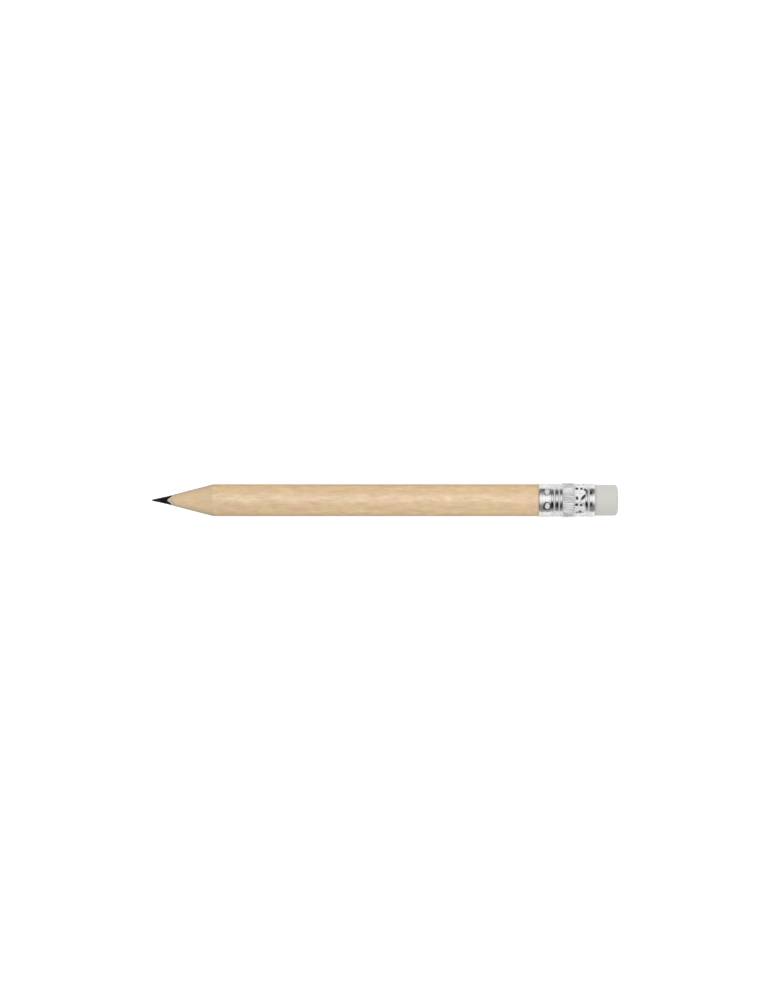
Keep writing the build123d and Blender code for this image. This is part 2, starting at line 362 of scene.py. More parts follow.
# ---------------------------------------------------------------------- slats
def slat(name, side, seed):
    """One half of the wood: the round barrel, whittled cone, groove and tenon."""
    n = 141
    a_out = math.asin(HALF_FILM / (BARREL_R + 0.02))
    a_in = math.asin(HALF_FILM / GROOVE_R)
    base = 0.0 if side > 0 else math.pi
    p_out = base + np.linspace(a_out, math.pi - a_out, n)
    p_in = base + np.linspace(a_in, math.pi - a_in, n)

    def rho(r, psi):
        """Distance from the groove's centre to the circle of radius r round the axis."""
        return DROP * np.sin(psi) + np.sqrt(np.maximum(r * r - (DROP * np.cos(psi)) ** 2, 0))

    # the wood's thin front edge, torn back here and there by the sharpener
    lip_r = np.sqrt(GROOVE_R ** 2 - 2 * GROOVE_R * DROP * np.sin(p_in) + DROP ** 2)
    r = np.random.RandomState(seed)
    torn = 0.20 + np.abs(wander(p_in, seed, (2, 3, 5), 0.16)) + np.abs(
        wander(p_in, seed + 1, (7, 11, 17, 23), 0.15))
    for _ in range(4):
        c = r.uniform(p_in[0], p_in[-1])
        w = r.uniform(0.05, 0.12)
        torn += r.uniform(0.05, 0.18) * np.exp(-((p_in - c) / w) ** 2)
    if side > 0:
        ahead = 1 - step(np.abs(p_in - math.pi / 2), 0.15, 0.55)
        torn = torn * (1 - 0.40 * ahead) + tongue(p_in)
    front = cone_s(lip_r) + torn

    f = np.linspace(0, 1, 66) ** 1.55
    whittled = front[None, :] + f[:, None] * (CONE_BASE - 0.05 - front[None, :])
    barrel = np.concatenate([
        [CONE_BASE, CONE_BASE + 0.05, CONE_BASE + 0.12],
        np.linspace(CONE_BASE + 0.5, SHOULDER - 0.4, 151), [SHOULDER - 0.1, SHOULDER - 0.04],
    ])
    tenon_u = np.concatenate([
        [0.0, 0.6], np.linspace(0.9, 2.7, 24), np.linspace(2.78, 4.2, 22),
        [4.6, 5.2, 5.7, 6.1],
    ])
    tenon = FER_START + tenon_u
    body = np.concatenate([barrel, [SHOULDER - 0.001, SHOULDER], tenon, [TENON_END - 0.01]])
    s = np.concatenate([whittled, np.broadcast_to(body[:, None], (len(body), n))])
    psi = np.broadcast_to(p_out[None, :], s.shape)

    radius = np.where(s <= CONE_BASE, cone_r(s), BARREL_R)
    # a hair of rounding where the cone meets the barrel
    radius = radius - 0.006 * np.exp(-((s - CONE_BASE) / 0.05) ** 2)
    radius = np.where(s > SHOULDER - 0.05, BARREL_R - 0.04 * step(s, SHOULDER - 0.045, SHOULDER), radius)
    radius = np.where(s >= SHOULDER - 1e-6, BARREL_R - 0.04, radius)

    # the wood's own fine relief, always inward
    y0, z0 = radius * np.cos(psi), radius * np.sin(psi)
    here = np.stack([s, y0, z0], -1)
    relief = 0.5 + 0.5 * field(here, (0.10, 1.5, 1.5), (seed * 3.1, 0, 7), 2)
    flutes = 0.5 + 0.5 * field(here, (0.35, 5.0, 5.0), (seed, 11, 2), 2)
    on_cone = 1 - step(s, CONE_BASE - 0.25, CONE_BASE)
    radius = radius - 0.007 * relief - on_cone * (0.010 * flutes + 0.006 * relief)
    # a soft edge where the sharpener's cut starts to tear near the lead
    near = np.exp(-np.maximum(s - front[None, :], 0) / 0.12)
    radius = radius - on_cone * 0.012 * near

    y_axis = rho(radius, psi) * np.cos(psi)
    z_axis = rho(radius, psi) * np.sin(psi) - DROP
    # from the shoulder back the wood follows the ferrule's bore
    back = np.arange(len(s)) > len(whittled) + len(barrel) + 1
    theta = np.arctan2(y_axis, z_axis)
    fit = bore(s[back] - FER_START, theta[back]) - 0.005
    last = s[back] > TENON_END - 0.05
    fit = np.where(last, fit - 0.16, fit)
    y_axis[back] = fit * np.sin(theta[back])
    z_axis[back] = fit * np.cos(theta[back])
    # keep the two flats flat
    flat = -DROP + side * HALF_FILM
    z_axis[:, 0] = z_axis[:, -1] = flat
    # front row sits on the groove's wall plus the torn edge's thickness
    outer = np.stack([s, y_axis, z_axis], -1)
    gy, gz = GROOVE_R * np.cos(p_in), GROOVE_R * np.sin(p_in) - DROP
    inner = np.stack(np.broadcast_arrays(s, gy[None, :], gz[None, :]), -1).copy()
    inner[:, 0, 2] = inner[:, -1, 2] = flat
    # the film side's outer edge is eased, which is what shows as a hairline
    edge = s - front[None, :]

    shell = Shell()
    o = shell.add(outer, edge_dist=edge)
    g = shell.add(inner[::2], edge_dist=np.full(inner[::2].shape[:-1], 50.0))
    # the groove needs only every second row; join it through the full front and back rows
    if len(outer) % 2 == 0:
        raise RuntimeError("the slat needs an odd number of rows")
    run = np.concatenate([[0], np.cumsum(np.linalg.norm(np.diff(outer[:, n // 2], axis=0), axis=1))])
    shell.skin_by_length(o, (0.01, 0.01, 0.99, 0.74), 4, run)
    shell.skin(g, (0.01, 0.76, 0.99, 0.82), 1)

    # flats, as fans between an outer edge of every row and a groove edge of every second row
    for col, v0 in ((0, 0.84), (n - 1, 0.89)):
        for i in range(0, len(outer) - 1, 2):
            a, b, c = o[i, col], o[i + 1, col], o[i + 2, col]
            d, e = g[i // 2, col], g[i // 2 + 1, col]
            x0, x1, x2 = (0.01 + 0.98 * (run[i + k] - run[0]) / run[-1] for k in range(3))
            shell.quads.append(np.array([[a, b, d, d], [b, c, e, d]]))
            shell.uvs.append(np.array([
                [[x0, v0], [x1, v0], [x0, v0 + 0.04], [x0, v0 + 0.04]],
                [[x1, v0], [x2, v0], [x2, v0 + 0.04], [x0, v0 + 0.04]],
            ]))
    shell.skin(np.stack([o[0], g[0]]).T, (0.01, 0.94, 0.99, 0.96), 1)
    shell.skin(np.stack([o[-1], g[-1]]).T, (0.01, 0.97, 0.99, 0.99), 1)
    return shell.build(name, sharp=48)


# ----------------------------------------------------------------------- lead
def lead_r(s):
    """Radius of the sharpened lead, a little hollow between point and wood."""
    pts_s = np.array([0.105, 0.30, 0.52, 1.20, 1.83, 2.50, 3.14, 3.80, 4.60, 5.60, 8.0])
    pts_r = np.array([0.135, 0.188, 0.243, 0.378, 0.512, 0.662, 0.812, 0.972, 1.150, 1.40, 2.0])
    s = np.asarray(s, float)
    out = np.interp(s, pts_s, pts_r)
    # keep it under the wood's cone with the relief a sharpener leaves
    out = np.where(s > 3.0, np.minimum(out, np.maximum(cone_r(s) - 0.045, 0.80)), out)
    nose = 0.14
    cap = np.sqrt(np.maximum(nose ** 2 - (nose - np.minimum(s, nose)) ** 2, 0))
    return np.where(s < 0.105, np.minimum(cap, 0.135), out)


def tongue(psi):
    """How far the sharpener tore the wood back beside the tongue left on the upper side."""
    d = np.abs((psi - math.pi / 2 + math.pi) % TAU - math.pi)
    return 0.42 * step(d, 0.12, 0.66) * (1 - step(d, 1.0, 1.60))


def make_core():
    n = 144
    psi = np.arange(n) * TAU / n
    s = np.concatenate([
        [0.0015, 0.010, 0.028, 0.055, 0.085], np.linspace(0.12, 6.2, 120),
        np.linspace(6.8, TENON_END - 0.02, 24),
    ])
    zc = -DROP * smooth((s - 2.2) / 3.2)
    rc = lead_r(s)
    sin, cos = np.sin(psi)[None, :], np.cos(psi)[None, :]
    z, r = zc[:, None], rc[:, None]
    cut = -z * sin + np.sqrt(np.maximum(r * r - (z * cos) ** 2, 1e-9))
    dz = z + DROP
    whole = -dz * sin + np.sqrt(np.maximum(CORE_R ** 2 - (dz * cos) ** 2, 1e-9))
    rho = np.minimum(cut, whole - 0.004)
    rough = np.stack(np.broadcast_arrays(s[:, None], r * cos, r * sin), -1)
    rho = rho - np.where(cut < whole, 1, 0) * step(s, 0.1, 0.6)[:, None] * (
        0.006 * (0.5 + 0.5 * field(rough, (2.6, 1.6, 1.6), (3, 5, 9), 2)))
    # flats worn by a few strokes at the very point
    wear_and_side_factor = 1 - 0.10 * np.exp(-(s[:, None] / 0.35) ** 2) * (0.5 + 0.5 * np.cos(psi[None, :] - 4.4))
    rho = rho * wear_and_side_factor
    p = np.stack([np.broadcast_to(s[:, None], rho.shape), rho * cos, z + rho * sin], -1)
    shell = Shell()
    on_cone = np.where(cut < whole, 1.0, 0.0)
    g = shell.add(p, exposed=on_cone)
    run = np.concatenate([[0], np.cumsum(np.linalg.norm(np.diff(p[:, 0], axis=0), axis=1))])
    # the sharpened part gets most of the map
    split = int(np.abs(s - 6.2).argmin())
    shell.skin(g[: split + 1], (0.01, 0.02, 0.99, 0.70), 2, closed=True)
    shell.skin(g[split:], (0.01, 0.74, 0.99, 0.86), 1, closed=True)
    tip = shell.add(np.array([[0.0, 0.0, 0.0]]), exposed=1.0)[0]
    end = shell.add(np.array([[TENON_END - 0.02, 0.0, -DROP]]))[0]
    for ring, hub, v0 in ((g[0], tip, 0.90), (g[-1], end, 0.95)):
        nxt = np.roll(ring, -1)
        shell.quads.append(np.stack([ring, nxt, np.full(n, hub), np.full(n, hub)], -1))
        x = np.linspace(0.01, 0.99, n + 1)
        uv = np.zeros((n, 4, 2))
        uv[:, 0, 0], uv[:, 1, 0], uv[:, 2, 0], uv[:, 3, 0] = x[:-1], x[1:], (x[:-1] + x[1:]) / 2, (x[:-1] + x[1:]) / 2
        uv[:, 0:2, 1], uv[:, 2:4, 1] = v0, v0 + 0.03
        shell.uvs.append(uv)
    return shell.build("lead", sharp=50)


# ----------------------------------------------------------------- glue film
def make_glue():
    """A thin sheet between the slats that opens into a sleeve round the lead."""
    film = 0.010                      # half thickness where the sheet shows
    sleeve_out, sleeve_in = GROOVE_R - 0.004, CORE_R + 0.002
    a_base = math.asin(film / sleeve_out)
    arc = np.linspace(a_base, math.pi - a_base, 61)
    # the outer loop: upper groove arc, left fin, lower groove arc, right fin
    psi = np.concatenate([arc, [math.pi - 0.0035, math.pi + 0.0035], arc + math.pi,
                          [TAU - 0.0035, TAU + 0.0035]])
    fin = np.zeros(len(psi), bool)
    fin[61:63] = True
    fin[-2:] = True
    inner_psi = psi.copy()
    lip = np.sqrt(sleeve_out ** 2 - 2 * sleeve_out * DROP * np.sin(psi) + DROP ** 2)
    lip_in = np.sqrt(sleeve_in ** 2 - 2 * sleeve_in * DROP * np.sin(psi) + DROP ** 2)
    start = cone_s(lip) + 0.17 + 0.02 * np.sin(5 * psi) + tongue(psi)
    start_in = cone_s(lip_in) + 0.20 + 0.02 * np.sin(7 * psi) + tongue(psi)
    f = np.linspace(0, 1, 34)
    body = np.concatenate([np.linspace(CONE_BASE, SHOULDER - 0.05, 30), [SHOULDER + 0.005],
                           np.linspace(SHOULDER + 0.4, TENON_END - 0.02, 6)])

    def rows(begin):
        front = begin[None, :] + f[:, None] * (CONE_BASE - 0.2 - begin[None, :])
        return np.concatenate([front, np.broadcast_to(body[:, None], (len(body), len(begin)))])

    so, si = rows(start), rows(start_in)
    wood = np.where(so < CONE_BASE, cone_r(so), BARREL_R) - 0.018
    wood = np.where(so > SHOULDER, 3.10, wood)
    reach = np.sqrt(np.maximum(wood ** 2 - DROP ** 2, 0))
    rho = np.where(fin[None, :], np.maximum(reach, sleeve_out + 0.002), sleeve_out)
    y, z = rho * np.cos(psi), rho * np.sin(psi)
    z = np.where(fin[None, :], np.sign(np.sin(psi))[None, :] * film * 0.9, z)
    outer = np.stack([so, y, z - DROP], -1)
    inner = np.stack([si, sleeve_in * np.cos(inner_psi) + 0 * si, sleeve_in * np.sin(inner_psi) - DROP + 0 * si], -1)
    shell = Shell()
    o = shell.add(outer)
    i = shell.add(inner)
    shell.skin(o, (0.01, 0.02, 0.99, 0.60), 3, closed=True)
    shell.skin(i, (0.01, 0.64, 0.99, 0.86), 1, closed=True)
    shell.skin(np.stack([o[0], i[0]]), (0.01, 0.90, 0.99, 0.93), 1, closed=True)
    shell.skin(np.stack([o[-1], i[-1]]), (0.01, 0.95, 0.99, 0.98), 1, closed=True)
    return shell.build("glue_film", sharp=45)


# -------------------------------------------------------------------- ferrule
REEDS = 40


def ferrule_r(u, theta):
    r = lane(u, OUTLINE)
    # reeded grip band: round crests and valleys pressed along the pencil
    on = step(u, 5.12, 5.32) * (1 - step(u, 7.44, 7.60))
    wave = 0.5 - 0.5 * np.cos(REEDS * theta + 0.30 * np.sin(3 * theta))
    uneven = 1 + 0.28 * np.sin(7 * theta + 1.0) * np.sin(11 * theta) + 0.22 * np.sin(19 * theta + 0.4 * u)
    r = r - on * 0.124 * uneven * (1 - wave) ** 1.15
    return r - dimples(u, theta)[0]


def make_ferrule():
    n = 360
    theta = np.arange(n) * TAU / n
    u = np.concatenate([
        [0.0, 0.025, 0.06, 0.11], np.linspace(0.22, 1.12, 8), np.linspace(1.17, 2.52, 33),
        np.linspace(2.56, 3.18, 19), np.linspace(3.22, 3.48, 6), np.linspace(3.52, 4.22, 21),
        np.linspace(4.26, 4.52, 6), np.linspace(4.56, 5.18, 17), [5.24, 5.32, 5.8, 6.4, 7.0],
        np.linspace(7.42, 8.04, 17), np.linspace(8.10, 10.00, 31), np.linspace(10.03, 10.62, 18),
        np.linspace(10.67, 11.14, 9), np.linspace(11.28, 12.14, 7), [12.20, 12.24, 12.275, 12.30],
    ])
    t, uu = theta[None, :], u[:, None]
    r = ferrule_r(uu, t)
    _, bite, floor, _ = dimples(uu, t)
    where = np.stack(np.broadcast_arrays(uu, 3.6 * np.sin(t), 3.6 * np.cos(t)), -1)
    # hand-level unevenness of thin crimped metal
    r = r + 0.009 * field(where, (0.55, 0.45, 0.45), (4.2, 1.7, 8.8), 2) * step(uu, 0.0, 0.3)
    crumple = 0.016 * field(where, (1.6, 1.1, 1.1), (1.1, 6.0, 2.3), 2)
    r = r + crumple * (step(uu, 7.9, 8.3) * (1 - step(uu, 9.7, 10.1)) + 0.6 * step(uu, 1.2, 1.5) * (1 - step(uu, 2.3, 2.5))
                       + 0.45 * step(uu, 10.9, 11.2))
    r = np.minimum(r, REED_R - 0.003)
    sway = 0.03 * np.sin(t + 0.6) * np.sin(uu / FER_LEN * math.pi)
    s = FER_START + np.clip(uu + sway * step(uu, 0.3, 2.0) * (1 - step(uu, 10.5, 12.0)), 0.0, FER_LEN)
    plain = lane(uu, OUTLINE) + 0 * t
    outer = np.stack([s + 0 * t, r * np.sin(t), r * np.cos(t)], -1)
    ui = np.concatenate([[0.0, 0.05], np.linspace(0.9, 2.46, 9), np.linspace(2.54, 4.24, 14),
                         [5.2, 6.4, 7.6], np.linspace(8.1, 9.96, 9), np.linspace(10.06, 10.66, 6),
                         [11.4, 12.25, 12.30]])
    ri = bore(ui[:, None], t)
    ri = np.minimum(ri, np.interp(ui, u, lane(u, OUTLINE))[:, None] - 0.09)
    inner = np.stack([FER_START + ui[:, None] + 0 * t, ri * np.sin(t), ri * np.cos(t)], -1)
    shell = Shell()
    # painted shade with dirt: the grooves are marked dark, most in patches at listed angles round the tube
    groove = step(PLAIN_R - plain, 0.030, 0.120) * (1 - step(uu, 12.0, 12.2)) * step(uu, 0.1, 0.3)
    patch = 0.10 + 0 * (uu + t)
    for deg, wide, amount in ((-17, 13, 1.0), (27, 8.5, 0.50), (-92, 22, 0.8), (-150, 16, 0.5),
                              (98, 18, 0.9), (160, 24, 0.7)):
        patch = np.maximum(patch, amount * np.exp(-np.abs(np.degrees(arc_gap(t, deg)) / wide) ** 3))
    groove = groove * patch * (1 + 0.25 * np.sin(5 * uu + 2 * t))
    # painted shade also sits behind the last ridge, in patches at listed angles
    heel = step(uu, 10.98, 11.10) * (1 - step(uu, 11.42, 11.85))
    heel_shade = 0.08 + 0 * (uu + t)
    for deg, wide, amount in ((-14, 9, 1.0), (26, 8, 0.96), (-95, 16, 0.8), (-160, 20, 0.6),
                              (105, 18, 0.9), (170, 14, 0.7)):
        heel_shade = np.maximum(heel_shade, amount * np.exp(-np.abs(np.degrees(arc_gap(t, deg)) / wide) ** 3))
    groove = np.maximum(groove, heel * heel_shade)
    valley = step(uu, 5.2, 5.4) * (1 - step(uu, 7.4, 7.55)) * step(3.748 - r, 0.04, 0.13)
    # narrow rolled ridges are rubbed dull, as is the reeding
    rubbed = np.zeros_like(plain)
    for a, b in ((3.19, 3.49), (4.23, 4.53), (7.74, 8.06), (10.65, 11.02)):
        rubbed = np.maximum(rubbed, step(uu, a - 0.03, a + 0.05) * (1 - step(uu, b - 0.05, b + 0.03)) + 0 * t)
    rubbed = np.maximum(rubbed, 1.75 * step(uu, 7.60, 7.70) * (1 - step(uu, 7.86, 8.02)) + 0 * t)
    rubbed = np.maximum(rubbed, 1.3 * step(uu, 12.10, 12.20) + 0 * t)
    rubbed = np.maximum(rubbed, 0.56 * step(uu, 5.02, 5.2) * (1 - step(uu, 7.6, 7.7)))
    # painted highlights: a few reeds are marked as bright lines at listed angles round the tube, joining the punch
    # floors' mask
    shine = np.random.RandomState(77)
    painted_glints = [(-13.0, 4.1, 1.0), (44.0, 4.0, 1.0), (33.0, 3.0, 0.75), (-20.5, 2.7, 0.65), (-31.0, 2.6, 0.45),
              (22.5, 2.8, 0.60), (10.0, 2.6, 0.45), (0.0, 2.4, 0.40)]
    painted_glints += [(a + shine.uniform(-3, 3), shine.uniform(1.8, 2.8), shine.choice([0.3, 0.5, 0.9]))
               for a in range(60, 325, 11)]
    band = step(uu, 5.20, 5.40) * (1 - step(uu, 7.35, 7.58))
    for deg, wide, amount in painted_glints:
        line = amount * np.exp(-(np.degrees(arc_gap(t, deg)) / wide) ** 2)
        floor = np.maximum(floor, band * line * (0.75 + 0.25 * np.sin(2.1 * uu + deg)))
    o = shell.add(outer, groove=groove, bite=bite, punched=floor, valley=valley, rubbed=rubbed)
    i = shell.add(inner, groove=0.5)
    shell.skin_by_length(o, (0.01, 0.01, 0.99, 0.84), 2, u, closed=True)
    shell.skin(i, (0.01, 0.86, 0.99, 0.93), 1, closed=True)
    shell.skin(np.stack([o[0], i[0]]), (0.01, 0.94, 0.99, 0.96), 1, closed=True)
    shell.skin(np.stack([o[-1], i[-1]]), (0.01, 0.97, 0.99, 0.99), 1, closed=True)
    return shell.build("ferrule_tube", sharp=80)


# --------------------------------------------------------------------- eraser
def make_eraser():
    n = 180
    theta = np.arange(n) * TAU / n
    exposed = FER_END + 0.02
    round_r = 0.82
    line = [(ERASER_START + 0.01, 0.35), (ERASER_START + 0.01, 1.8), (ERASER_START + 0.01, 3.10),
            (ERASER_START + 0.10, 3.24), (ERASER_START + 0.28, 3.40)]
    line += [(FER_START + x, 3.40) for x in np.linspace(7.2, 8.0, 4)]
    line += [(FER_START + x, 3.40) for x in np.linspace(8.1, 10.0, 22)]
    line += [(FER_START + x, 3.40) for x in np.linspace(10.08, 10.7, 9)]
    line += [(FER_START + x, 3.40) for x in (11.4, 12.0, 12.26)]
    line += [(exposed, ERASER_R - 0.030), (exposed + 0.05, ERASER_R - 0.014), (exposed + 0.14, ERASER_R - 0.004)]
    line += [(x, ERASER_R) for x in np.linspace(exposed + 0.35, LENGTH - round_r - 0.05, 16)]
    for a in np.linspace(0, 90, 15):
        c = math.radians(a)
        line.append((LENGTH - 0.035 - round_r + round_r * math.sin(c),
                     ERASER_R - round_r + round_r * math.cos(c)))
    for q in (0.94, 0.86, 0.76, 0.64, 0.50, 0.36, 0.22, 0.10):
        line.append((LENGTH - 0.035 + 0.027 * (1 - q * q), (ERASER_R - round_r) * q))
    s = np.array([p[0] for p in line])
    r0 = np.array([p[1] for p in line])
    t = theta[None, :]
    r = r0[:, None] + 0 * t
    u = s - FER_START
    inside = (u < 12.28) & (r0 > 3.3)
    r[inside] = np.minimum(r[inside], bore(u[inside][:, None], t) - 0.005)
    pts = np.stack(np.broadcast_arrays(s[:, None], r * np.sin(t), r * np.cos(t)), -1).copy()
    shown = step(s, exposed, exposed + 0.4)[:, None]
    bumps = 0.5 + 0.5 * field(pts, (0.55, 0.55, 0.55), (9, 2, 4), 3)
    fine = 0.5 + 0.5 * field(pts, (2.4, 2.4, 2.4), (1, 8, 3), 2)
    pull = shown * (0.016 * bumps + 0.006 * fine)
    # inward along the local outline: radially on the side, along the pencil on the face
    face = step(s, LENGTH - round_r, LENGTH - 0.05)[:, None]
    r = r - pull * (1 - face)
    along = s[:, None] - pull * face
    pts = np.stack([along, r * np.sin(t), r * np.cos(t)], -1)
    shell = Shell()
    g = shell.add(pts)
    run = np.concatenate([[0], np.cumsum(np.hypot(np.diff(s), np.diff(r0)))])
    cut = int(np.argmax(s > exposed - 0.01))
    shell.skin_by_length(g[: cut + 1], (0.01, 0.86, 0.99, 0.98), 1, run[: cut + 1], closed=True)
    shell.skin_by_length(g[cut:], (0.01, 0.02, 0.95, 0.82), 1, run[cut:], closed=True)
    root = shell.add(np.array([[ERASER_START + 0.01, 0.0, 0.0]]))[0]
    end = shell.add(np.array([[LENGTH - 0.008, 0.0, 0.0]]))[0]
    for ring, hub, x0 in ((g[0], root, 0.0), (g[-1], end, 0.96)):
        nxt = np.roll(ring, -1)
        shell.quads.append(np.stack([ring, nxt, np.full(n, hub), np.full(n, hub)], -1))
        y = np.linspace(0.02, 0.82, n + 1)
        uv = np.zeros((n, 4, 2))
        uv[:, 0, 1], uv[:, 1, 1] = y[:-1], y[1:]
        uv[:, 2, 1] = uv[:, 3, 1] = (y[:-1] + y[1:]) / 2
        uv[:, 0:2, 0], uv[:, 2:4, 0] = x0 + 0.002, x0 + 0.03
        if x0 == 0.0:
            uv[:, 0:2, 0], uv[:, 2:4, 0] = 0.002, 0.008
        shell.uvs.append(uv)
    return shell.build("eraser_plug", sharp=60)


# ------------------------------------------------------------------ materials
class Graph:
    """Short words for building a node material."""

    def __init__(self, tree):
        self.t = tree
        tree.nodes.clear()

    def node(self, kind, props=None, **inputs):
        n = self.t.nodes.new(kind)
        for k, v in (props or {}).items():
            setattr(n, k, v)
        for k, v in inputs.items():
            self.put(n.inputs[k.replace("_", " ")], v)
        return n

    def put(self, socket, v):
        if isinstance(v, bpy.types.NodeSocket):
            self.t.links.new(v, socket)
        elif v is not None:
            if isinstance(v, tuple) and len(v) == 3 and socket.type == "RGBA":
                v = (*v, 1.0)
            socket.default_value = v

    def m(self, op, a, b=None, c=None, clamp=False):
        n = self.t.nodes.new("ShaderNodeMath")
        n.operation, n.use_clamp = op, clamp
        for i, v in enumerate((a, b, c)):
            if v is not None:
                self.put(n.inputs[i], v)
        return n.outputs[0]

    def v(self, op, a, b=None, c=None):
        n = self.t.nodes.new("ShaderNodeVectorMath")
        n.operation = op
        for i, x in enumerate((a, b, c)):
            if x is not None:
                self.put(n.inputs[i], x)
        return n.outputs["Value"] if op in ("LENGTH", "DOT_PRODUCT", "DISTANCE") else n.outputs[0]

    def mix(self, fac, a, b, blend="MIX"):
        n = self.t.nodes.new("ShaderNodeMix")
        n.data_type, n.blend_type = "RGBA", blend
        self.put(n.inputs[0], fac)
        self.put(n.inputs[6], a)
        self.put(n.inputs[7], b)
        return n.outputs[2]

    def span(self, x, a, b, c=0.0, d=1.0):
        """x from a..b to c..d, eased and held at the ends."""
        n = self.t.nodes.new("ShaderNodeMapRange")
        n.interpolation_type = "SMOOTHSTEP"
        for i, v in enumerate((x, a, b, c, d)):
            self.put(n.inputs[i], v)
        return n.outputs[0]

    def noise(self, p, scale=1.0, detail=2.0, rough=0.5, warp=0.0):
        n = self.node("ShaderNodeTexNoise", {"noise_dimensions": "3D"}, Vector=p, Scale=scale,
                      Detail=detail, Roughness=rough, Distortion=warp)
        return n.outputs[0]

    def bump(self, height, strength, distance, normal=None):
        n = self.node("ShaderNodeBump", Strength=strength, Distance=distance, Height=height)
        if normal is not None:
            self.put(n.inputs["Normal"], normal)
        return n.outputs[0]

    def attr(self, name):
        return self.node("ShaderNodeAttribute", {"attribute_name": name}).outputs["Fac"]


def material(name):
    mat = bpy.data.materials.new(name)
    mat.use_nodes = True
    g = Graph(mat.node_tree)
    coords = g.node("ShaderNodeTexCoord").outputs["Object"]
    p = g.v("MULTIPLY_ADD", coords, (1000.0, 1000.0, 1000.0), (-TIP, 0.0, -AXIS_Z))
    xyz = g.node("ShaderNodeSeparateXYZ", Vector=p)
    return mat, g, p, xyz.outputs[0], xyz.outputs[1], xyz.outputs[2]


def finish_material(mat, g, **inputs):
    b = g.node("ShaderNodeBsdfPrincipled")
    for k, v in inputs.items():
        g.put(b.inputs[k.replace("_", " ")], v)
    out = g.node("ShaderNodeOutputMaterial")
    g.t.links.new(b.outputs[0], out.inputs[0])
    return mat


def srgb(r, g, b):
    f = lambda c: c / 12.92 if c <= 0.04045 else ((c + 0.055) / 1.055) ** 2.4
    return tuple(f(x / 255.0) for x in (r, g, b))


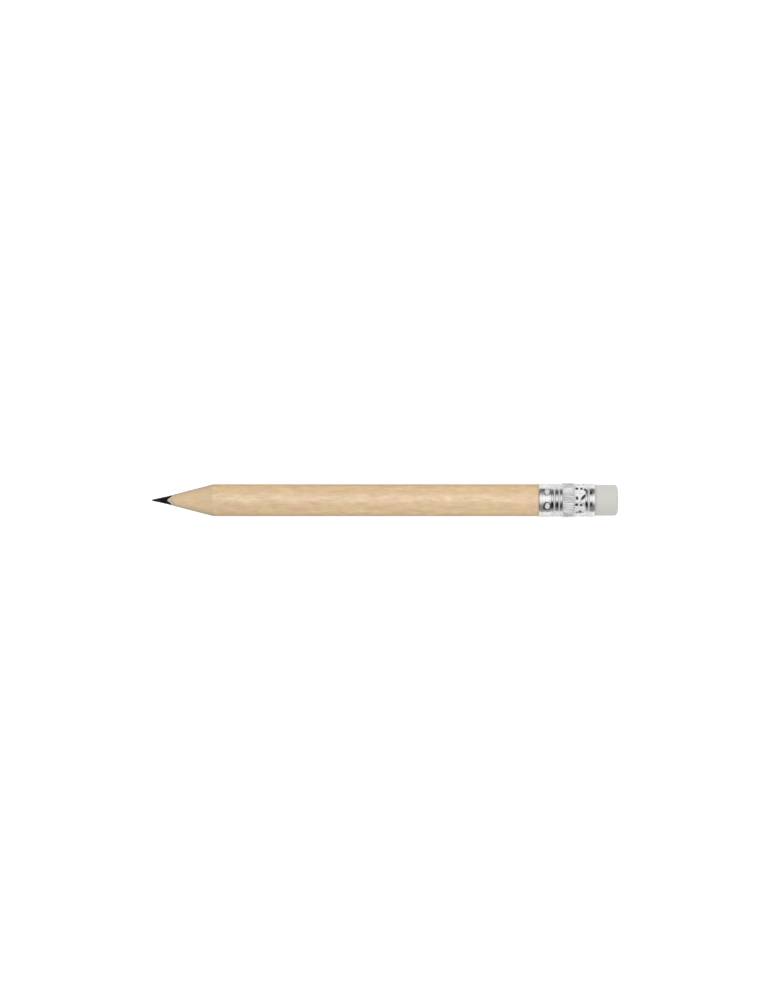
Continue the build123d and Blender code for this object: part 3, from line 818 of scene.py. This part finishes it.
def wood_material(name, shift, tilt):
    """Pale close-grained wood under a thin clear lacquer; bare where it is whittled."""
    mat, g, p, s, y, z = material(name)
    radial = g.m("SQRT", g.m("ADD", g.m("MULTIPLY", y, y), g.m("MULTIPLY", z, z)))
    theta = g.m("ARCTAN2", y, z)
    # the board's own axes: the grain runs along the pencil with a slight slope
    c, q = math.cos(tilt), math.sin(tilt)
    across = g.m("ADD", g.m("MULTIPLY", y, c), g.m("MULTIPLY", z, q))
    depth = g.m("ADD", g.m("MULTIPLY", y, -q), g.m("MULTIPLY", z, c))
    drift = g.m("MULTIPLY", s, 0.010)
    board = g.node("ShaderNodeCombineXYZ", X=s, Y=g.m("ADD", across, drift), Z=depth).outputs[0]
    board = g.v("ADD", board, shift)

    def stretched(kx, ky, kz, add=(0.0, 0.0, 0.0)):
        return g.v("ADD", g.v("MULTIPLY", board, (kx, ky, kz)), add)

    # slow warps so that no line of grain is dead straight
    bend = g.noise(stretched(0.045, 0.20, 0.20), 1.0, 2.0, 0.5)
    warped = g.v("ADD", board, g.node("ShaderNodeCombineXYZ", X=0.0, Y=g.m("MULTIPLY", g.m("SUBTRACT", bend, 0.5), 1.9), Z=0.0).outputs[0])

    rings = g.noise(g.v("MULTIPLY", warped, (0.022, 1.05, 0.42)), 1.0, 3.0, 0.55)
    streak = g.noise(g.v("MULTIPLY", warped, (0.16, 2.6, 2.6)), 1.0, 3.0, 0.60)
    mottle = g.noise(g.v("MULTIPLY", warped, (0.52, 1.7, 1.7)), 1.0, 3.0, 0.60)
    fibre = g.noise(g.v("MULTIPLY", warped, (0.60, 6.0, 6.0)), 1.0, 3.0, 0.62)
    hair = g.noise(g.v("MULTIPLY", warped, (1.1, 30.0, 30.0)), 1.0, 2.0, 0.6)
    blotch = g.noise(stretched(0.16, 0.40, 0.40, (4.0, 9.0, 2.0)), 1.0, 2.0, 0.5)
    cloud = g.noise(stretched(0.42, 0.90, 0.90, (8.0, 1.0, 6.0)), 1.0, 3.0, 0.55)
    fleck = g.noise(stretched(0.70, 4.4, 4.4, (3.0, 3.0, 1.0)), 1.0, 1.0, 0.4)
    fleck = g.span(fleck, 0.64, 0.74)
    pore = g.noise(stretched(0.95, 13.0, 13.0, (7.0, 2.0, 5.0)), 1.0, 1.0, 0.4)
    pore = g.span(pore, 0.67, 0.76)

    pale = srgb(227, 200, 163)
    warm = srgb(213, 178, 137)
    rosy = srgb(221, 186, 151)
    straw = srgb(221, 192, 149)
    col = g.mix(g.span(blotch, 0.36, 0.64), straw, rosy)
    col = g.mix(g.span(rings, 0.38, 0.62, 0.0, 0.30), col, pale)
    col = g.mix(g.span(streak, 0.42, 0.70, 0.0, 0.58), col, warm)
    # short orange and ashen dashes among the fibres
    dash = g.noise(stretched(0.50, 2.2, 2.2, (5.0, 8.0, 6.0)), 1.0, 2.0, 0.55)
    col = g.mix(g.span(dash, 0.54, 0.68, 0.0, 0.46), col, srgb(224, 182, 136))
    col = g.mix(g.span(dash, 0.46, 0.32, 0.0, 0.34), col, srgb(212, 193, 156))
    tone = g.m("ADD", g.m("MULTIPLY", g.m("SUBTRACT", mottle, 0.5), 0.48), 1.050)
    tone = g.m("ADD", tone, g.m("MULTIPLY", g.m("SUBTRACT", fibre, 0.5), 0.21))
    tone = g.m("ADD", tone, g.m("MULTIPLY", g.m("SUBTRACT", cloud, 0.5), 0.36))
    tone = g.m("ADD", tone, g.m("MULTIPLY", g.m("SUBTRACT", s, 52.0), 0.0010))
    tone = g.m("ADD", tone, g.m("MULTIPLY", g.m("SUBTRACT", hair, 0.5), 0.08))
    tone = g.m("SUBTRACT", tone, g.m("MULTIPLY", fleck, 0.09))
    tone = g.m("SUBTRACT", tone, g.m("MULTIPLY", pore, 0.10))
    col = g.mix(1.0, col, g.node("ShaderNodeCombineColor", Red=g.m("MULTIPLY", tone, 0.985), Green=tone, Blue=g.m("MULTIPLY", tone, 1.005)).outputs[0], "MULTIPLY")
    # painted shade where the wood meets the metal, with handling and adhesive dirt: the last half millimetre before
    # the metal is darker
    seam_shade_and_dirt = g.span(s, SHOULDER - 0.55, SHOULDER - 0.05)
    col = g.mix(g.m("MULTIPLY", seam_shade_and_dirt, 0.35), col, srgb(170, 148, 122))

    # the lacquer stops in a slightly uneven line at the foot of the cone
    shore_p = g.node("ShaderNodeCombineXYZ", X=g.m("MULTIPLY", g.m("SINE", theta), 1.7), Y=g.m("MULTIPLY", g.m("COSINE", theta), 1.7), Z=0.3).outputs[0]
    shore = g.m("SUBTRACT", g.noise(shore_p, 1.0, 3.0, 0.6), 0.5)
    line = g.m("ADD", g.m("MULTIPLY", shore, 0.42), CONE_BASE - 0.02)
    past = g.m("SUBTRACT", s, line)
    lacquer = g.span(past, -0.10, 0.08)
    # a rubbed, faintly darker ring just before it, broken where the lacquer chipped
    ring = g.m("MULTIPLY", g.span(past, -0.80, -0.25), g.m("SUBTRACT", 1.0, g.span(past, -0.12, 0.10)))
    broken = g.noise(g.v("MULTIPLY", p, (1.1, 0.9, 0.9)), 1.0, 3.0, 0.6)
    ring = g.m("MULTIPLY", ring, g.span(broken, 0.36, 0.60, 0.15, 1.0))
    bare = g.m("SUBTRACT", 1.0, lacquer)

    # bare wood is a little greyer and drier
    dry = g.mix(0.42, col, srgb(214, 190, 160))
    dry = g.mix(1.0, dry, (0.985, 0.975, 0.985), "MULTIPLY")
    tinge = g.noise(g.v("MULTIPLY", p, (0.16, 0.30, 0.30)), 1.0, 2.0, 0.5)
    dry = g.mix(g.span(tinge, 0.44, 0.60, 0.0, 0.30), dry, srgb(200, 182, 136))
    dry = g.mix(g.span(tinge, 0.46, 0.34, 0.0, 0.30), dry, srgb(216, 178, 146))
    scrape = g.noise(g.v("MULTIPLY", p, (4.5, 0.6, 0.6)), 1.0, 3.0, 0.6)
    dry = g.mix(g.span(scrape, 0.50, 0.75, 0.0, 0.12), dry, srgb(186, 154, 120))
    col = g.mix(bare, col, dry)
    col = g.mix(g.m("MULTIPLY", ring, 0.11), col, srgb(168, 134, 102))

    # crushed pale fibres and rubbed-in graphite next to the lead
    edge = g.attr("edge_dist")
    rag = g.m("ADD", edge, g.m("MULTIPLY", g.m("SUBTRACT", g.noise(g.v("MULTIPLY", p, (2.2, 3.4, 3.4)), 1.0, 3.0, 0.6), 0.5), 0.75))
    dusted = g.m("SUBTRACT", 1.0, g.span(rag, 0.30, 1.70))
    col = g.mix(g.m("MULTIPLY", dusted, 0.58), col, srgb(168, 162, 142))
    collar = g.m("SUBTRACT", 1.0, g.span(rag, 0.30, 0.72))
    col = g.mix(g.m("MULTIPLY", collar, 0.85), col, srgb(199, 192, 177))
    dust = g.m("SUBTRACT", 1.0, g.span(rag, -0.02, 0.20))
    specks = g.span(g.noise(g.v("MULTIPLY", p, (5.0, 6.0, 6.0)), 1.0, 2.0, 0.5), 0.60, 0.72)
    smudge = g.m("MULTIPLY", specks, g.m("SUBTRACT", 1.0, g.span(rag, 0.25, 1.15)))
    col = g.mix(g.m("MULTIPLY", g.m("MAXIMUM", g.m("MULTIPLY", dust, 0.5), smudge), 0.62), col, srgb(92, 88, 84))
    # a broken dark thread where the torn fibres end, on the near side
    thread = g.m("MULTIPLY", g.span(rag, 0.52, 0.64), g.m("SUBTRACT", 1.0, g.span(rag, 0.72, 0.90)))
    thread = g.m("MULTIPLY", thread, g.span(y, 0.35, -0.35, 0.25, 1.0))
    broken_by = g.noise(g.v("MULTIPLY", p, (3.4, 3.8, 3.8)), 1.0, 2.0, 0.5)
    col = g.mix(g.m("MULTIPLY", thread, g.span(broken_by, 0.40, 0.58, 0.0, 0.42)), col, srgb(112, 104, 90))

    # painted shade: seen edge on, towards its outline, the wood is painted a shade darker and greyer, bare wood greyer
    # still
    slant = g.node("ShaderNodeLayerWeight", Blend=0.5).outputs["Facing"]
    col = g.mix(g.span(slant, 0.15, 0.74, 0.0, 0.48), col, srgb(170, 156, 127))
    col = g.mix(g.m("MULTIPLY", bare, g.span(slant, 0.22, 0.70, 0.0, 0.32)), col, srgb(150, 150, 150))

    # roughness: lacquer is satin and uneven, bare wood is dull
    satin = g.m("ADD", 0.50, g.m("MULTIPLY", g.m("SUBTRACT", streak, 0.5), 0.20))
    rough = g.m("ADD", g.m("MULTIPLY", lacquer, satin), g.m("MULTIPLY", bare, g.m("ADD", 0.78, g.m("MULTIPLY", g.m("SUBTRACT", fibre, 0.5), 0.2))))
    grain_h = g.m("ADD", g.m("MULTIPLY", fibre, 0.6), g.m("MULTIPLY", hair, 0.35))
    grain_h = g.m("SUBTRACT", grain_h, g.m("MULTIPLY", pore, 0.8))
    deep = g.m("ADD", 0.35, g.m("MULTIPLY", bare, 0.65))
    normal = g.bump(grain_h, deep, 0.000016)
    wave = g.noise(g.v("MULTIPLY", warped, (0.40, 1.5, 1.5)), 1.0, 2.0, 0.55)
    coat_h = g.m("ADD", g.m("MULTIPLY", wave, 1.0), g.m("MULTIPLY", mottle, 0.35))
    coat_n = g.bump(coat_h, 1.0, 0.000058)
    coat = g.m("ADD", 0.78, g.m("MULTIPLY", g.m("SUBTRACT", mottle, 0.5), 2.3), clamp=True)
    coat = g.m("MULTIPLY", coat, g.span(slant, 0.10, 0.40, 1.0, 0.10))
    coat = g.m("MULTIPLY", g.span(past, -0.05, 0.40, 0.6, 1.0), g.m("MULTIPLY", lacquer, coat))
    finish_material(mat, g, Base_Color=col, Roughness=rough, Normal=normal,
                    Specular_IOR_Level=g.m("MULTIPLY", bare, 0.20),
                    Coat_Weight=coat, Coat_Roughness=0.10, Coat_IOR=2.15, Coat_Normal=coat_n,
                    Sheen_Weight=g.m("MULTIPLY", bare, 0.05), Sheen_Roughness=0.6)
    return mat


def lead_material():
    """Sharpened graphite: near black, with fine turning marks and a dull metallic burnish."""
    mat, g, p, s, y, z = material("graphite_lead")
    turn = g.noise(g.v("MULTIPLY", p, (16.0, 0.9, 0.9)), 1.0, 3.0, 0.6)
    fine = g.noise(g.v("MULTIPLY", p, (7.0, 7.0, 7.0)), 1.0, 4.0, 0.65)
    patch = g.noise(g.v("MULTIPLY", g.node("ShaderNodeVectorRotate", Vector=p, Angle=0.35).outputs[0], (0.5, 3.2, 2.0)), 1.0, 2.0, 0.5)
    tone = g.m("ADD", g.m("MULTIPLY", g.m("SUBTRACT", turn, 0.5), 0.004), 0.0042)
    tone = g.m("ADD", tone, g.m("MULTIPLY", g.m("SUBTRACT", fine, 0.5), 0.004))
    rub = g.m("MULTIPLY", g.span(patch, 0.50, 0.66), g.span(fine, 0.35, 0.60, 0.4, 1.0))
    tone = g.m("ADD", tone, g.m("MULTIPLY", rub, 0.012))
    col = g.node("ShaderNodeCombineColor", Red=tone, Green=tone, Blue=g.m("MULTIPLY", tone, 1.10)).outputs[0]
    rough = g.m("ADD", 0.50, g.m("MULTIPLY", g.m("SUBTRACT", turn, 0.5), 0.22))
    rough = g.m("SUBTRACT", rough, g.m("MULTIPLY", rub, 0.12))
    h = g.m("ADD", g.m("MULTIPLY", turn, 0.7), g.m("MULTIPLY", fine, 0.4))
    normal = g.bump(h, 0.6, 0.000014)
    return finish_material(mat, g, Base_Color=col, Roughness=rough, Normal=normal,
                           Specular_IOR_Level=g.m("ADD", 0.10, g.m("MULTIPLY", rub, 0.45)))


def glue_material():
    """Hardened glue, a shade darker than the wood, dusty on the cut cone."""
    mat, g, p, s, y, z = material("glue")
    n1 = g.noise(g.v("MULTIPLY", p, (0.9, 3.0, 3.0)), 1.0, 3.0, 0.6)
    n2 = g.noise(g.v("MULTIPLY", p, (6.0, 9.0, 9.0)), 1.0, 2.0, 0.6)
    col = g.mix(g.span(n1, 0.3, 0.7), srgb(205, 172, 132), srgb(186, 150, 110))
    front = g.m("SUBTRACT", 1.0, g.span(s, 4.6, 6.4))
    col = g.mix(g.m("MULTIPLY", front, g.span(n2, 0.35, 0.62, 0.35, 0.85)), col, srgb(122, 114, 104))
    rough = g.m("ADD", 0.55, g.m("MULTIPLY", g.m("SUBTRACT", n2, 0.5), 0.3))
    return finish_material(mat, g, Base_Color=col, Roughness=rough, Normal=g.bump(n2, 0.5, 0.000008),
                           Specular_IOR_Level=0.35)


def metal_material():
    """Thin bright aluminium, drawn and crimped: hairlines, scuffed punch marks, painted shade with dirt in the bites
    and grooves, painted highlights on the reeding.
    """
    mat, g, p, s, y, z = material("ferrule_aluminium")
    groove, bite = g.attr("groove"), g.attr("bite")
    punched, valley, rubbed = g.attr("punched"), g.attr("valley"), g.attr("rubbed")
    drawn = g.noise(g.v("MULTIPLY", p, (14.0, 0.55, 0.55)), 1.0, 3.0, 0.6)
    haze = g.noise(g.v("MULTIPLY", p, (0.9, 0.9, 0.9)), 1.0, 3.0, 0.55)
    grit = g.noise(g.v("MULTIPLY", p, (5.5, 5.5, 5.5)), 1.0, 3.0, 0.6)
    turned = g.node("ShaderNodeVectorRotate", Vector=p, Angle=0.6).outputs[0]
    scuff = g.span(g.noise(g.v("MULTIPLY", turned, (1.2, 11.0, 11.0)), 1.0, 2.0, 0.5), 0.64, 0.72)
    pits = g.span(g.noise(g.v("MULTIPLY", p, (9.0, 9.0, 9.0)), 1.0, 1.0, 0.4), 0.70, 0.78)
    rough = g.m("ADD", 0.130, g.m("MULTIPLY", g.m("SUBTRACT", drawn, 0.5), 0.07))
    rough = g.m("ADD", rough, g.m("MULTIPLY", g.span(haze, 0.40, 0.75), 0.07))
    rough = g.m("ADD", rough, g.m("MULTIPLY", scuff, 0.12))
    rough = g.m("ADD", rough, g.m("MULTIPLY", punched, g.m("ADD", 0.30, g.m("MULTIPLY", grit, 0.30))))
    rough = g.m("ADD", rough, g.m("MULTIPLY", rubbed, 0.34))
    bright = (0.84, 0.84, 0.845)
    dull = (0.74, 0.735, 0.73)
    dirt_and_shade = (0.020, 0.019, 0.018)
    col = g.mix(g.span(haze, 0.35, 0.75, 0.0, 0.5), bright, dull)
    col = g.mix(g.m("MULTIPLY", valley, g.span(grit, 0.30, 0.65, 0.0, 0.10)), col, (0.50, 0.49, 0.48))
    reeded = g.m("MULTIPLY", g.span(s, FER_START + 5.15, FER_START + 5.35), g.m("SUBTRACT", 1.0, g.span(s, FER_START + 7.40, FER_START + 7.58)))
    # the reeding's colour is scaled in stripes along it, and painted shade darkens it towards +Y
    stripe = g.noise(g.v("MULTIPLY", p, (0.35, 2.9, 2.9)), 1.0, 2.0, 0.6)
    wear_and_side_factor = g.m("MULTIPLY", g.span(stripe, 0.36, 0.60, 0.80, 1.20), g.span(y, 2.90, 3.25, 1.0, 0.85))
    col = g.mix(reeded, col, g.mix(1.0, col, g.node("ShaderNodeCombineColor", Red=wear_and_side_factor, Green=wear_and_side_factor, Blue=wear_and_side_factor).outputs[0], "MULTIPLY"))
    # painted reflection: the rim next to the wood is tinted warm, standing in for the warm wood reflected in it
    lip = g.m("SUBTRACT", 1.0, g.span(s, FER_START + 0.75, FER_START + 1.25))
    col = g.mix(g.m("MULTIPLY", lip, 0.85), col, (0.97, 0.925, 0.865), "MULTIPLY")
    # the scoured punch floors turn near-white, and so do the painted highlight lines on the reeding
    scour = g.noise(g.v("MULTIPLY", p, (2.3, 2.3, 2.3)), 1.0, 2.0, 0.6)
    chalky = g.mix(g.m("MAXIMUM", reeded, g.span(scour, 0.35, 0.65)), (0.80, 0.80, 0.80), (0.98, 0.98, 0.98))
    col = g.mix(punched, col, chalky)
    # painted shade with dirt in the grooves and the bitten rings, in the dark dirt colour; the pits are dirt
    groove_shade_and_dirt = g.m("MULTIPLY", groove, g.span(grit, 0.30, 0.70, 0.91, 1.0), clamp=True)
    bite_shade_and_dirt = g.m("MULTIPLY", bite, g.span(grit, 0.25, 0.60, 0.95, 1.0), clamp=True)
    col = g.mix(g.m("MAXIMUM", groove_shade_and_dirt, bite_shade_and_dirt), col, dirt_and_shade)
    col = g.mix(g.m("MULTIPLY", pits, 0.20), col, dirt_and_shade)
    h = g.m("ADD", g.m("MULTIPLY", drawn, 0.6), g.m("MULTIPLY", scuff, -0.5))
    h = g.m("SUBTRACT", h, g.m("MULTIPLY", pits, 0.6))
    h = g.m("ADD", h, g.m("MULTIPLY", g.m("MULTIPLY", punched, grit), 1.2))
    normal = g.bump(h, 0.30, 0.000010)
    # scoured and dulled places scatter the light more than they mirror it, and so do the painted highlight lines,
    # whose white then shows
    metal = g.m("SUBTRACT", 1.0, g.m("MULTIPLY", lip, 0.05))
    metal = g.m("SUBTRACT", metal, g.m("MULTIPLY", g.m("MAXIMUM", g.m("MULTIPLY", punched, 2.15), rubbed), 0.36), clamp=True)
    return finish_material(mat, g, Base_Color=col, Metallic=metal, Roughness=rough, Normal=normal)


def rubber_material():
    """Off-white vinyl-like rubber: chalky, mottled, handled at the rim."""
    mat, g, p, s, y, z = material("eraser_rubber")
    mottle = g.noise(g.v("MULTIPLY", p, (0.45, 0.45, 0.45)), 1.0, 3.0, 0.55)
    cloud = g.noise(g.v("MULTIPLY", p, (1.5, 1.5, 1.5)), 1.0, 3.0, 0.6)
    grit = g.noise(g.v("MULTIPLY", p, (14.0, 14.0, 14.0)), 1.0, 3.0, 0.65)
    col = g.mix(g.span(mottle, 0.36, 0.64), srgb(204, 207, 199), srgb(210, 205, 201))
    col = g.mix(g.span(cloud, 0.45, 0.78, 0.0, 0.35), col, srgb(192, 191, 185))
    tone = g.m("ADD", 1.0, g.m("MULTIPLY", g.m("SUBTRACT", grit, 0.5), 0.07))
    col = g.mix(1.0, col, g.node("ShaderNodeCombineColor", Red=tone, Green=tone, Blue=tone).outputs[0], "MULTIPLY")
    spot = g.span(g.noise(g.v("MULTIPLY", p, (4.2, 4.2, 4.2)), 1.0, 2.0, 0.5), 0.70, 0.78)
    col = g.mix(g.m("MULTIPLY", spot, 0.16), col, srgb(150, 148, 143))
    # rubbed rim at the working end; painted shade with a little dirt makes a thin grey line where the metal meets the
    # rubber
    radial = g.m("SQRT", g.m("ADD", g.m("MULTIPLY", y, y), g.m("MULTIPLY", z, z)))
    rim = g.m("MULTIPLY", g.span(s, LENGTH - 0.9, LENGTH - 0.15), g.span(radial, ERASER_R - 1.3, ERASER_R - 0.5))
    rim = g.m("MULTIPLY", rim, g.span(cloud, 0.40, 0.66))
    col = g.mix(g.m("MULTIPLY", rim, 0.14), col, srgb(160, 158, 154))
    seam_shade_and_dirt = g.m("SUBTRACT", 1.0, g.span(s, FER_END + 0.02, FER_END + 0.28))
    col = g.mix(g.m("MULTIPLY", seam_shade_and_dirt, 0.30), col, srgb(140, 138, 134))
    rough = g.m("ADD", 0.58, g.m("MULTIPLY", g.m("SUBTRACT", cloud, 0.5), 0.22))
    h = g.m("ADD", g.m("MULTIPLY", grit, 0.7), g.m("MULTIPLY", cloud, 0.5))
    normal = g.bump(h, 0.55, 0.000022)
    return finish_material(mat, g, Base_Color=col, Roughness=rough, Normal=normal,
                           Specular_IOR_Level=0.42, Subsurface_Weight=0.12,
                           Subsurface_Radius=(0.0009, 0.0008, 0.0007), Subsurface_Scale=0.5)


# --------------------------------------------------------------------- pieces
upper = slat("slat_upper", +1, 21)
lower = slat("slat_lower", -1, 57)
core = make_core()
film = make_glue()
tube = make_ferrule()
plug = make_eraser()

upper.data.materials.append(wood_material("wood_upper", (3.7, 12.4, 5.1), 0.35))
lower.data.materials.append(wood_material("wood_lower", (61.3, -7.9, 22.6), -0.55))
core.data.materials.append(lead_material())
film.data.materials.append(glue_material())
tube.data.materials.append(metal_material())
plug.data.materials.append(rubber_material())

for piece, node, slot in (
    (upper, "upper_slat", "wood"), (lower, "lower_slat", "wood"),
    (core, "graphite_core", "graphite"), (film, "glue_line", "glue"),
    (tube, "ferrule", "ferrule_metal"), (plug, "eraser", "eraser_rubber"),
):
    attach(piece, "root")
    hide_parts(node)

# ---------------------------------------------------------------------- stage
floor_mesh = bpy.data.meshes.new("floor")
bm = bmesh.new()
bmesh.ops.create_grid(bm, x_segments=8, y_segments=8, size=1.6)
bm.to_mesh(floor_mesh)
bm.free()
floor = bpy.data.objects.new("floor", floor_mesh)
bpy.context.scene.collection.objects.link(floor)
floor.location = (0, 0, -0.00002)
floor_mat = bpy.data.materials.new("pale_floor")
floor_mat.use_nodes = True
g = Graph(floor_mat.node_tree)
g_out = g.node("ShaderNodeOutputMaterial")
rays = g.node("ShaderNodeLightPath").outputs
seen = g.m("ADD", g.m("MULTIPLY", rays["Is Camera Ray"], 0.50), g.m("MULTIPLY", rays["Is Glossy Ray"], 0.10))
grain = g.noise(g.node("ShaderNodeTexCoord").outputs["Object"], 900.0, 2.0, 0.5)
b = g.node("ShaderNodeBsdfPrincipled", Roughness=0.9, Specular_IOR_Level=0.1)
g.put(b.inputs["Base Color"], g.mix(grain, (0.85, 0.85, 0.85), (0.87, 0.87, 0.87)))
g.put(b.inputs["Emission Color"], (1.0, 1.0, 1.0))
g.put(b.inputs["Emission Strength"], seen)
# from below the floor is clear, so the pencil's underside can be looked at
under = g.node("ShaderNodeNewGeometry").outputs["Backfacing"]
clear = g.node("ShaderNodeMixShader")
g.t.links.new(under, clear.inputs[0])
g.t.links.new(b.outputs[0], clear.inputs[1])
g.t.links.new(g.node("ShaderNodeBsdfTransparent").outputs[0], clear.inputs[2])
g.t.links.new(clear.outputs[0], g_out.inputs[0])
floor.data.materials.append(floor_mat)

# The studio is drawn in the world, so it has no edge to place: a long overhead softbox.
# Shiny surfaces see it against dim walls; matt ones get the room's even fill.
BOX_Y, BOX_X = math.tan(math.radians(31)), math.tan(math.radians(48))
world = bpy.data.worlds.new("studio")
world.use_nodes = True
bpy.context.scene.world = world
w = Graph(world.node_tree)
d = w.node("ShaderNodeTexCoord").outputs["Generated"]
sep = w.node("ShaderNodeSeparateXYZ", Vector=w.v("NORMALIZE", d))
dx, dy, dz = sep.outputs[0], sep.outputs[1], sep.outputs[2]
zz = w.m("MAXIMUM", dz, 0.02)
ay = w.m("ABSOLUTE", w.m("ADD", w.m("DIVIDE", dy, zz), 0.10))
ax = w.m("DIVIDE", w.m("ABSOLUTE", dx), zz)
box = w.m("MULTIPLY", w.m("SUBTRACT", 1.0, w.span(ay, BOX_Y * 0.88, BOX_Y * 1.14)),
          w.m("SUBTRACT", 1.0, w.span(ax, BOX_X * 0.85, BOX_X * 1.2)))
box = w.m("MULTIPLY", box, w.span(dz, 0.02, 0.06))
above = w.span(dz, -0.02, 0.0)

near = w.mix(w.span(dz, 0.15, 0.65), (0.58, 0.58, 0.58), (0.96, 0.96, 0.96))
fill = w.mix(w.span(dy, -0.35, 0.35), near, (1.00, 1.00, 1.00))
fill = w.mix(box, fill, (1.20, 1.20, 1.20))
fill = w.mix(above, (0.86, 0.86, 0.86), fill)

# for shiny surfaces: degrees round the pencil's direction, + on the far side, and radiance
STRIP = [
    (-100, 0.60), (-88, 0.46), (-79, 0.30), (-66, 0.26), (-50, 0.25), (-41, 0.22), (-34, 0.32),
    (-27, 0.48), (-20, 0.66), (-13, 0.84), (-6, 1.00), (1, 1.11), (9, 1.17), (17, 1.16), (25, 1.05),
    (32, 0.86), (39, 0.65), (46, 0.45), (54, 0.28), (64, 0.18), (76, 0.16), (85, 0.25), (92, 0.40),
    (100, 0.56),
]
phi = w.m("MULTIPLY", w.m("ARCTAN2", dy, dz), 180.0 / math.pi)
strip = w.node("ShaderNodeValToRGB", Fac=w.m("ADD", w.m("MULTIPLY", phi, 1 / 200.0), 0.5))
stops = strip.color_ramp.elements
while len(stops) < len(STRIP):
    stops.new(0.5)
for stop, (deg, level) in zip(stops, STRIP):
    stop.position = deg / 200.0 + 0.5
for stop, (deg, level) in zip(stops, STRIP):
    off = step(abs(deg), 40, 60)
    stop.color = (level * (1 + 0.03 * off), level, level * (1 - 0.04 * off), 1.0)
flat = w.m("SQRT", w.m("ADD", w.m("MULTIPLY", dx, dx), w.m("MULTIPLY", dy, dy)))
square_on = w.m("DIVIDE", w.m("ABSOLUTE", dy), w.m("MAXIMUM", flat, 0.001))
corner = w.m("MULTIPLY", w.span(w.m("ABSOLUTE", phi), 38.0, 56.0), w.m("SUBTRACT", 1.0, w.span(square_on, 0.72, 0.95)))
corner = w.m("MAXIMUM", corner, w.span(w.m("ABSOLUTE", dx), 0.72, 0.90))
ends = w.m("MULTIPLY", w.span(w.m("ABSOLUTE", dx), 0.38, 0.64), 0.36)
sharp_view = w.mix(ends, strip.outputs[0], (0.05, 0.05, 0.05))
sharp_view = w.mix(corner, sharp_view, (0.016, 0.016, 0.018))
low = w.m("MULTIPLY", w.m("SUBTRACT", 1.0, w.span(dz, 0.0, 0.16)), w.span(w.m("ABSOLUTE", dx), 0.86, 0.97))
sharp_view = w.mix(w.m("MULTIPLY", low, 0.8), sharp_view, (0.55, 0.55, 0.55))
sharp_view = w.mix(above, (0.86, 0.86, 0.86), sharp_view)

path = w.node("ShaderNodeLightPath").outputs
lit = w.mix(path["Is Glossy Ray"], fill, sharp_view)
final = w.mix(path["Is Camera Ray"], lit, (1.0, 1.0, 1.0))
bg = w.node("ShaderNodeBackground", Color=final, Strength=1.0)
wo = w.node("ShaderNodeOutputWorld")
w.t.links.new(bg.outputs[0], wo.inputs[0])

scene = bpy.context.scene
scene.view_settings.view_transform = "Standard"
scene.view_settings.look = "None"
scene.view_settings.exposure = 0.0
scene.view_settings.gamma = 1.0

# --------------------------------------------------------------------- camera
LENS = 120.0
FIELD = 218.2                             # millimetres over the picture's long side
cam_data = bpy.data.cameras.new("camera")
cam_data.lens = LENS
cam_data.sensor_width = 36.0
cam_data.clip_start, cam_data.clip_end = 0.01, 20.0
cam = bpy.data.objects.new("camera", cam_data)
scene.collection.objects.link(cam)
cam.location = (0.000196, 0.000046, (AXIS_Z + FIELD * LENS / 36.0) * MM)
cam.rotation_euler = (0.0, 0.0, 0.0)
scene.camera = cam

bpy.context.view_layer.update()
